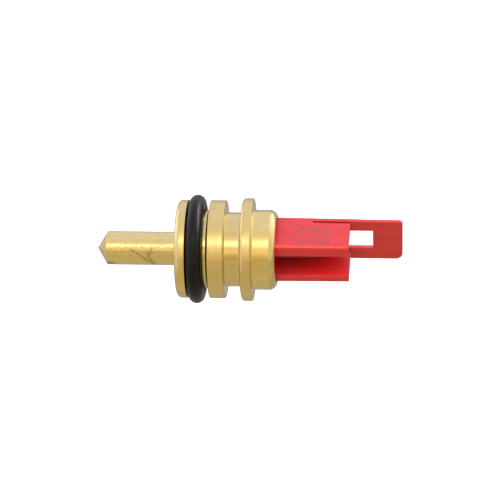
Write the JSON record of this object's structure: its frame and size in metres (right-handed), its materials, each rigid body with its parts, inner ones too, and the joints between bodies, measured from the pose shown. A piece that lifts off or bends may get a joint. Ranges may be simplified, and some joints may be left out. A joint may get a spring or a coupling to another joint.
{
  "type": "boiler temperature sensor",
  "caption": "Plug-in immersion temperature sensor: turned brass probe with sealing ring and clip groove, red keyed connector with a flexing latch tongue.",
  "frame": {"origin": "centre of the bounding box, on the sensor's axis", "axes": "+X along the sensor's axis from the probe tip to the connector mouth; +Z out of the connector's marked top face; +Y towards the latch tongue, so the connector's open slot faces -Y"},
  "size_m": [0.0459, 0.0164, 0.0164],
  "materials": {
    "brass": "turned, slightly stained",
    "epdm_rubber": "satin",
    "red_nylon": "moulded, semi-gloss",
    "tinned_brass": "bright tin plate",
    "thermistor_ceramic": "sintered, matt",
    "bead_glaze": "glazed",
    "nickel_wire": "drawn wire",
    "ptfe": "waxy",
    "tinned_copper": "crimped",
    "shrink_tube": "matt",
    "polyimide": "amber film",
    "thermal_compound": "paste",
    "epoxy_resin": "cast"
  },
  "bodies": {
    "sensor": {"brass_body": "brass", "connector_housing": "red_nylon", "crimp_ferrule_a": "tinned_copper", "crimp_ferrule_b": "tinned_copper", "lead_sleeve_a": "ptfe", "lead_sleeve_b": "ptfe", "lead_wire_a": "nickel_wire", "lead_wire_b": "nickel_wire", "o_ring": "epdm_rubber", "pocket_liner": "polyimide", "resin_fill": "epoxy_resin", "shrink_tube_a": "shrink_tube", "shrink_tube_b": "shrink_tube", "terminal_pin_a": "tinned_brass", "terminal_pin_b": "tinned_brass", "thermistor_bead": "bead_glaze", "thermistor_chip": "thermistor_ceramic", "tip_compound": "thermal_compound"},
    "latch": {"latch_tongue": "red_nylon"}
  },
  "joints": [
    {"name": "latch_flex", "type": "hinge", "parent": "sensor", "child": "latch", "pos_m": [0.00988, 0.00322, -0.00021], "axis": [0, 0, 1], "range_deg": [0, 7], "stiffness_Nm_per_rad": 0.002}
  ]
}
